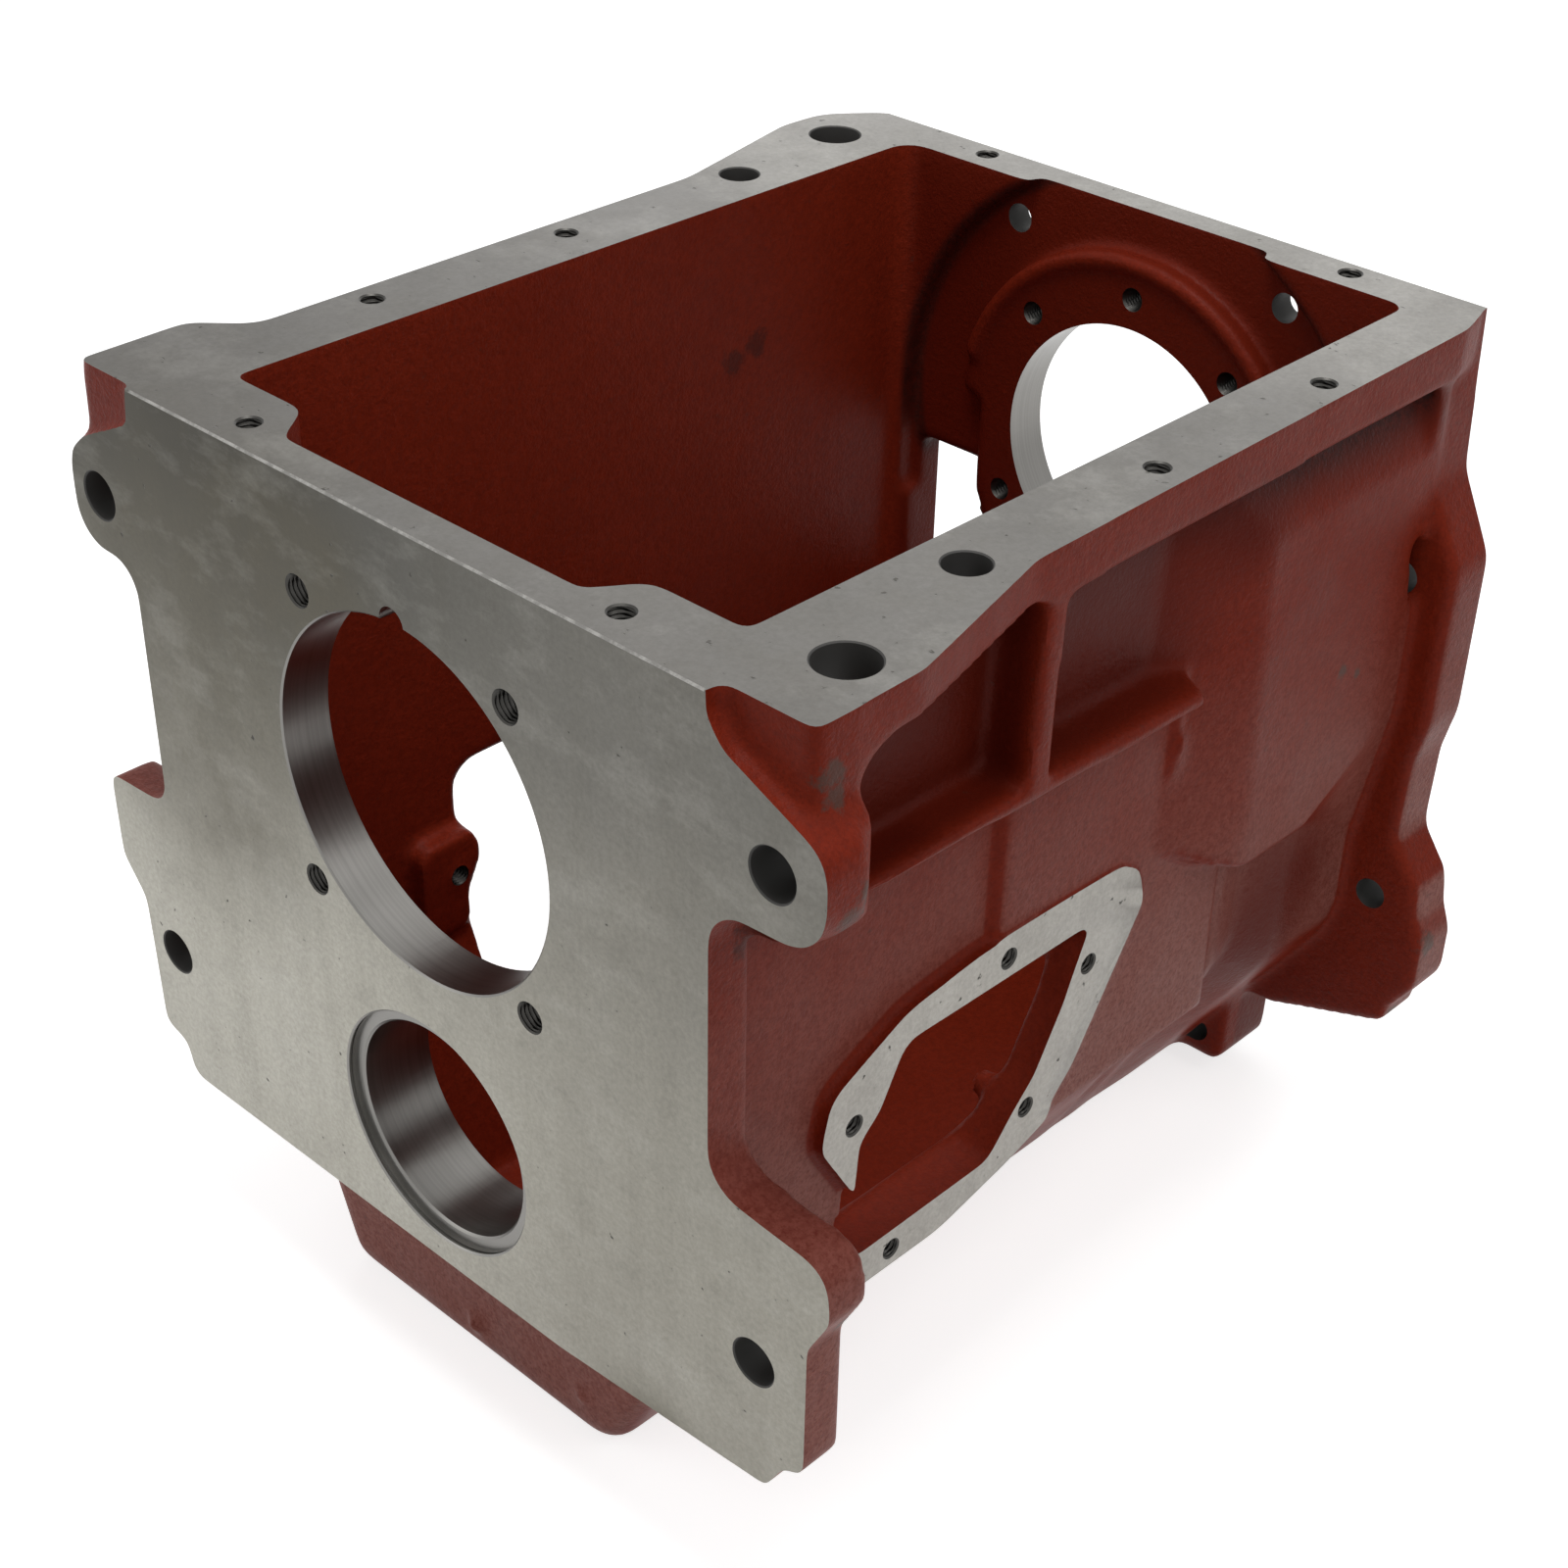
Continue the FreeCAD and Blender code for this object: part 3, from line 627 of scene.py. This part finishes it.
class Nodes:
    """A material's node tree with short calls for its nodes and links."""

    def __init__(self, name):
        self.material = bpy.data.materials.new(name)
        self.material.use_nodes = True
        self.tree = self.material.node_tree
        self.shader = self.tree.nodes["Principled BSDF"]
        where = self.add("ShaderNodeTexCoord")
        self.place = where.outputs["Object"]
        self.facing = where.outputs["Normal"]

    def add(self, kind, **settings):
        node = self.tree.nodes.new(kind)
        for key, value in settings.items():
            setattr(node, key, value)
        return node

    def feed(self, socket, value):
        if isinstance(value, bpy.types.NodeSocket):
            self.tree.links.new(value, socket)
        elif value is not None:
            socket.default_value = value

    def set(self, **values):
        """Sets the shader's inputs, as numbers, colours or links."""
        for key, value in values.items():
            name = key.replace("_", " ").title().replace("Ior", "IOR")
            if isinstance(value, tuple):
                value = (*value, 1.0)
            self.feed(self.shader.inputs[name], value)

    def parts(self, vector=None):
        """The x, y and z of a vector, or of the place in metres."""
        node = self.add("ShaderNodeSeparateXYZ")
        self.feed(node.inputs[0], vector or self.place)
        return node.outputs

    def scaled(self, factors):
        node = self.add("ShaderNodeMapping")
        self.feed(node.inputs["Vector"], self.place)
        node.inputs["Scale"].default_value = factors
        return node.outputs["Vector"]

    def noise(self, scale, detail=3.0, rough=0.5, vector=None):
        node = self.add("ShaderNodeTexNoise")
        self.feed(node.inputs["Vector"], vector or self.place)
        node.inputs["Scale"].default_value = scale
        node.inputs["Detail"].default_value = detail
        node.inputs["Roughness"].default_value = rough
        return node.outputs["Fac"]

    def math(self, operation, a, b=None):
        node = self.add("ShaderNodeMath", operation=operation)
        self.feed(node.inputs[0], a)
        self.feed(node.inputs[1], b)
        return node.outputs[0]

    def product(self, first, *others):
        for other in others:
            first = self.math("MULTIPLY", first, other)
        return first

    def span(self, value, low, high, to_low=0.0, to_high=1.0, smooth=False):
        kind = "SMOOTHSTEP" if smooth else "LINEAR"
        node = self.add("ShaderNodeMapRange", interpolation_type=kind)
        for key, item in zip(("Value", "From Min", "From Max", "To Min", "To Max"),
                             (value, low, high, to_low, to_high)):
            self.feed(node.inputs[key], item)
        return node.outputs["Result"]

    def ramp(self, value, limits, smooth=False):
        """0 to 1 along a length, between two limits in mm."""
        low, high = limits
        return self.span(value, low * MM, high * MM, smooth=smooth)

    def between(self, value, first, second, smooth=False):
        """1 where both ramps have risen; smooth is for the first."""
        return self.product(self.ramp(value, first, smooth), self.ramp(value, second))

    def near(self, point, reach, stretch=(1, 1, 1)):
        """1 at a point (mm), falling to 0 at reach (mm)."""
        shift = self.add("ShaderNodeMapping", vector_type="POINT")
        self.feed(shift.inputs["Vector"], self.place)
        shift.inputs["Location"].default_value = [-p * s * MM for p, s in zip(point, stretch)]
        shift.inputs["Scale"].default_value = stretch
        length = self.add("ShaderNodeVectorMath", operation="LENGTH")
        self.feed(length.inputs[0], shift.outputs["Vector"])
        return self.ramp(length.outputs["Value"], (reach, 0.0), smooth=True)

    def nearest(self, spots):
        """The strongest of several spots."""
        marks = [self.near(*spot) for spot in spots]
        strongest = marks[0]
        for mark in marks[1:]:
            strongest = self.math("MAXIMUM", strongest, mark)
        return strongest

    def mix(self, factor, a, b):
        node = self.add("ShaderNodeMix", data_type="RGBA")
        self.feed(node.inputs[0], factor)
        for socket, value in ((node.inputs[6], a), (node.inputs[7], b)):
            self.feed(socket, (*value, 1.0) if isinstance(value, tuple) else value)
        return node.outputs[2]

    def tinted(self, factor, colour, towards, share):
        """The colour, moved by factor to where it holds a share of another."""
        return self.mix(factor, colour, self.mix(share, colour, towards))

    def bump(self, height, strength, distance, onto=None):
        node = self.add("ShaderNodeBump")
        node.inputs["Strength"].default_value = strength
        node.inputs["Distance"].default_value = distance
        self.feed(node.inputs["Height"], height)
        self.feed(node.inputs["Normal"], onto)
        return node.outputs["Normal"]


def dust_and_sheen_mask(n, x, y, z, tone):
    """Dust and a painted sheen on what faces outward and on the sump's front, thicker low down.
    """
    outward = n.product(n.parts(n.facing)[0], n.math("SIGN", x))
    flank = n.product(n.span(outward, *DUST_SHEEN_FACING, smooth=True),
                      n.ramp(n.math("ABSOLUTE", x), DUST_SHEEN_FLANK_X))
    outside = n.math("MAXIMUM", flank, n.ramp(y, DUST_SHEEN_FRONT_Y))
    drift = n.span(tone, 0.0, 1.0, -DUST_SHEEN_DRIFT * MM, DUST_SHEEN_DRIFT * MM)
    return n.product(outside, n.ramp(n.math("ADD", z, drift), DUST_SHEEN_Z))


def painted_shade_under_flange(n, colour, side, x, y, z):
    """Painted shade in the pockets of one flank and a painted shadow in the crease over its
    raised panel.
    """
    along = y if side > 0 else n.math("SUBTRACT", REAR_Y * MM, y)
    depth = n.between(n.product(x, float(side)), *POCKET_OUT, smooth=True)
    pocket = n.product(depth, n.between(z, *POCKET_Z), n.between(along, *POCKET_ALONG))
    crease = n.product(n.between(z, *CREASE_Z, smooth=True), depth,
                       n.between(along, *CREASE_ALONG))
    return n.mix(crease, n.mix(pocket, colour, PAINTED_SHADE), PAINTED_CREASE_SHADOW)


def inner_rear_wall(n, colour, x, y, z):
    """Painted shade inside the rear wall, darkest in a ring at the edge of its recess."""
    wall = n.product(n.ramp(y, INNER_REAR_Y), n.ramp(n.math("ABSOLUTE", x), INNER_REAR_X))
    colour = n.mix(n.product(wall, INNER_REAR_SHADE), colour, PAINTED_SHADE)
    radius = n.math("SQRT", n.math("ADD", n.product(x, x), n.product(z, z)))
    off_edge = n.math("ABSOLUTE", n.math("SUBTRACT", radius, RECESS_R * MM))
    recess_edge_shade = n.product(n.ramp(off_edge, RECESS_RIM, smooth=True), wall, RECESS_SHADE)
    return n.mix(recess_edge_shade, colour, PAINT_GRIME_AND_SHADE)


def worn_marks(n, colour, grain):
    """Ragged spots where the paint is rubbed through or smudged."""
    broken = n.math("ADD", n.product(n.noise(150.0, detail=5.0, rough=0.8), 2.0), grain)
    for spots, shade, share in ((RUBBED, WORN_IRON, 0.7), (SMUDGED, PAINT_GRIME_AND_SHADE, 0.55)):
        mark = n.span(n.math("ADD", n.nearest(spots), broken), *MARK_EDGE, 0.0, share)
        colour = n.mix(mark, colour, shade)
    return colour


def paint_material():
    """Brick-red primer over sand-cast iron: grainy, with dust and a painted sheen low down, and
    painted shade where sheltered.
    """
    n = Nodes("red_primer")
    x, y, z = n.parts()
    tone = n.span(n.noise(14.0, detail=5.0, rough=0.6), 0.3, 0.7)
    colour = n.mix(tone, PAINT_DARK, PAINT_LIGHT)
    # Dust and a painted sheen on outward faces and the sump's front, thicker low down
    colour = n.mix(dust_and_sheen_mask(n, x, y, z, tone), colour, PAINT_DUST_AND_SHEEN)
    # Painted shade in the pockets under the top flange and a painted shadow in the crease above
    # the raised panel
    for side in (1, -1):
        colour = painted_shade_under_flange(n, colour, side, x, y, z)
    # Painted shade inside the rear wall and in a ring at the edge of its recess
    colour = inner_rear_wall(n, colour, x, y, z)
    # Painted shade in the hollows of the near flank
    for hollow in HOLLOWS:
        colour = n.mix(n.product(n.near(*hollow), HOLLOW_SHADE), colour, PAINTED_SHADE)
    grain = n.noise(380.0, detail=3.0, rough=0.7)
    colour = n.tinted(n.span(grain, 0.42, 0.60, to_high=0.8), colour, PAINT_GRAIN, share=0.45)
    speck = n.span(n.noise(800.0, detail=2.0, rough=0.6), 0.52, 0.66, to_high=0.8)
    colour = n.tinted(speck, colour, PAINT_GRAIN, share=0.5)
    colour = worn_marks(n, colour, grain)
    n.set(base_color=colour, specular_ior_level=PAINT_GLOSS,
          roughness=n.span(n.noise(45.0), 0.3, 0.7, to_low=0.34, to_high=0.46))
    sand = n.bump(n.noise(360.0, detail=4.0, rough=0.65), strength=0.6, distance=0.0006)
    n.set(normal=n.bump(n.noise(900.0, rough=0.6), strength=0.6, distance=0.0003, onto=sand))
    return n.material


def face_tones(n, x, y, z, cloud):
    """Grey of each milled face: front, top, rear and side pads, with a painted reflection on
    front and top.
    """
    drift = n.span(cloud, 0.25, 0.75, -CLOUD_DRIFT, CLOUD_DRIFT)
    low = n.span(n.math("ADD", n.ramp(z, FRONT_PALE_Z), drift), 0.0, 1.0, smooth=True)
    left = n.mix(low, FRONT_UPPER_LEFT, FRONT_LOWER_LEFT)
    right = n.mix(low, FRONT_UPPER_RIGHT, FRONT_LOWER_RIGHT)
    front = n.mix(n.ramp(x, FRONT_SIDE_X, smooth=True), left, right)
    back = n.span(n.math("ADD", n.ramp(y, TOP_PALE_Y), drift), 0.0, 1.0, smooth=True)
    top = n.mix(back, TOP_NEAR, TOP_FAR)
    on_top = n.math("GREATER_THAN", z, TOP_FROM_Z * MM)
    off_middle = n.math("ABSOLUTE", n.math("SUBTRACT", y, MIDDLE_Y * MM))
    on_end = n.math("GREATER_THAN", off_middle, PAD_WITHIN_Y * MM)
    colour = n.mix(on_top, front, top)
    colour = n.mix(n.math("MAXIMUM", on_end, on_top), PAD_IRON, colour)
    return n.mix(n.math("GREATER_THAN", y, REAR_FROM_Y * MM), colour, TOP_FAR)


def stained(n, colour):
    """Brown oil film over parts of the front, and streaks that run down it."""
    blot = n.span(n.noise(26.0, detail=7.0, rough=0.66), 0.46, 0.60, smooth=True)
    film = n.product(n.span(blot, 0.0, 1.0, to_low=0.80), n.span(n.nearest(STAINS), 0.0, 0.55))
    colour = n.tinted(film, colour, STAIN, share=0.65)
    streak = n.noise(1.0, detail=4.0, rough=0.6, vector=n.scaled((75, 75, 3)))
    return n.tinted(n.span(streak, 0.40, 0.66, to_high=0.16), colour, STAIN, share=0.6)


def face_material():
    """Milled grey iron, darker towards the upper front as a painted reflection, with brown oil
    stains and a few pits.
    """
    n = Nodes("milled_iron")
    cloud = n.noise(16.0, detail=6.0, rough=0.62)
    colour = stained(n, face_tones(n, *n.parts(), cloud))
    wiped = n.noise(1.0, detail=6.0, rough=0.7, vector=n.scaled((22, 22, 48)))
    colour = n.tinted(n.span(wiped, 0.50, 0.66, to_high=0.20), colour, WIPED_IRON, share=0.6)
    grain = n.noise(520.0, rough=0.7)
    colour = n.tinted(n.span(grain, 0.35, 0.65, to_high=0.45), colour, FACE_GRAIN, share=0.5)
    smear = n.noise(60.0, detail=6.0, rough=0.7)
    colour = n.tinted(n.span(smear, 0.50, 0.70, to_high=0.30), colour, FACE_GRAIN, share=0.5)
    more = n.product(n.near(*PEPPERED), 0.10)
    pits = n.span(n.math("ADD", n.noise(260.0, detail=2.0), more), 0.715, 0.755)
    n.set(base_color=n.mix(pits, colour, FACE_GRAIN), metallic=0.85,
          roughness=n.span(cloud, 0.3, 0.7, to_low=0.40, to_high=0.50))
    sunk = n.bump(pits, strength=0.4, distance=-0.0004)
    n.set(normal=n.bump(grain, strength=0.25, distance=0.0001, onto=sunk))
    return n.material


def bore_material():
    """Bored wall: fine turning lines round the axis on grey iron."""
    n = Nodes("bored_iron")
    rings = n.noise(1.0, rough=0.6, vector=n.scaled((4, 900, 4)))
    rough = n.span(n.noise(30.0, detail=4.0), 0.3, 0.7, to_low=0.28, to_high=0.36)
    n.set(base_color=n.mix(n.span(rings, 0.3, 0.7), BORE_DARK, BORE_LIGHT), metallic=1.0,
          roughness=rough, normal=n.bump(rings, strength=0.02, distance=0.0001))
    return n.material


def edge_material():
    """Broken edge of the front face, lighter than the faces beside it as a painted highlight:
    bright where it was nicked, dull between.
    """
    n = Nodes("broken_edge")
    nicks = n.span(n.noise(160.0, detail=5.0, rough=0.75), 0.44, 0.60)
    n.set(base_color=n.mix(nicks, EDGE_DULL, EDGE_BRIGHT), metallic=0.85, roughness=0.42)
    return n.material


def hole_material(name, colour, metallic, roughness):
    n = Nodes(name)
    n.set(base_color=colour, metallic=metallic, roughness=roughness)
    return n.material


# Studio


def seen_rays(tree):
    """1 for camera, glossy and transmission rays, 0 for light that falls on the casting."""
    path = tree.nodes.new("ShaderNodeLightPath")
    value = path.outputs["Is Camera Ray"]
    for name in ("Is Glossy Ray", "Is Transmission Ray"):
        both = tree.nodes.new("ShaderNodeMath")
        both.operation = "MAXIMUM"
        tree.links.new(value, both.inputs[0])
        tree.links.new(path.outputs[name], both.inputs[1])
        value = both.outputs[0]
    return value


def floor_material():
    material = bpy.data.materials.new("floor_white")
    material.use_nodes = True
    tree = material.node_tree
    shader = tree.nodes["Principled BSDF"]
    shader.inputs["Base Color"].default_value = (*FLOOR_COLOUR, 1)
    shader.inputs["Roughness"].default_value = FLOOR_ROUGHNESS
    shader.inputs["Specular IOR Level"].default_value = 0.0
    lift = tree.nodes.new("ShaderNodeMath")
    lift.operation = "MULTIPLY"
    lift.inputs[1].default_value = FLOOR_LIFT
    tree.links.new(seen_rays(tree), lift.inputs[0])
    shader.inputs["Emission Color"].default_value = WHITE
    tree.links.new(lift.outputs[0], shader.inputs["Emission Strength"])
    return material


def pale_floor():
    mesh = bpy.data.meshes.new("floor")
    corners = [(x * FLOOR_REACH, y * FLOOR_REACH, FLOOR_Z)
               for x, y in ((-1, -1), (1, -1), (1, 1), (-1, 1))]
    mesh.from_pydata(corners, [], [(0, 1, 2, 3)])
    mesh.materials.append(floor_material())
    floor = bpy.data.objects.new("floor", mesh)
    bpy.context.scene.collection.objects.link(floor)


def white_surround():
    world = bpy.data.worlds.new("surround")
    bpy.context.scene.world = world
    world.use_nodes = True
    tree = world.node_tree
    background = tree.nodes["Background"]
    level = tree.nodes.new("ShaderNodeMapRange")
    level.inputs["To Min"].default_value = WORLD_FILL
    level.inputs["To Max"].default_value = 1.0
    tree.links.new(seen_rays(tree), level.inputs["Value"])
    tree.links.new(level.outputs["Result"], background.inputs["Strength"])
    background.inputs["Color"].default_value = WHITE


def soft_lamps():
    for name, place, size, power in LAMPS:
        lamp = bpy.data.lights.new(name, "AREA")
        lamp.size = size
        lamp.energy = power
        obj = bpy.data.objects.new(name, lamp)
        obj.location = place
        aim = Vector(LAMP_TARGET) - Vector(place)
        obj.rotation_euler = aim.to_track_quat("-Z", "Y").to_euler()
        bpy.context.scene.collection.objects.link(obj)


def camera():
    data = bpy.data.cameras.new("camera")
    data.lens = CAMERA_LENS
    data.sensor_width = CAMERA_SENSOR
    data.shift_y = CAMERA_SHIFT
    data.clip_start = CAMERA_CLIP
    obj = bpy.data.objects.new("camera", data)
    turn = Matrix((CAMERA_RIGHT, CAMERA_UP, CAMERA_BACK)).transposed().to_4x4()
    obj.matrix_world = Matrix.Translation(Vector(CAMERA_PLACE) * MM) @ turn
    bpy.context.scene.collection.objects.link(obj)
    bpy.context.scene.camera = obj


def build():
    """The finished casting, in place of the node of the same part."""
    materials = [paint_material(), face_material(), bore_material(),
                 # Tapped and drilled hole walls carry painted shade: their iron is darkened
                 hole_material("tapped_iron", TAPPED_IRON_SHADED, metallic=1.0, roughness=0.40),
                 hole_material("drilled_iron", DRILLED_IRON_SHADED, metallic=0.4, roughness=0.62),
                 edge_material()]
    body = rough_casting(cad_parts["gearbox_housing"], materials)
    machined_planes(body, materials)
    broken_edge(body, materials)
    bores_and_holes(body, materials)
    smooth = [face.material_index != FACE for face in body.data.polygons]
    body.data.polygons.foreach_set("use_smooth", smooth)
    body.data.set_sharp_from_angle(angle=SHARP_ANGLE)
    body.name = "gearbox_casting"
    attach(body, "root")
    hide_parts("gearbox_housing")
    return body


bpy.context.scene.view_settings.view_transform = "Standard"
body = build()
pale_floor()
white_surround()
soft_lamps()
camera()
print("triangles", sum(len(p.vertices) - 2 for p in body.data.polygons))
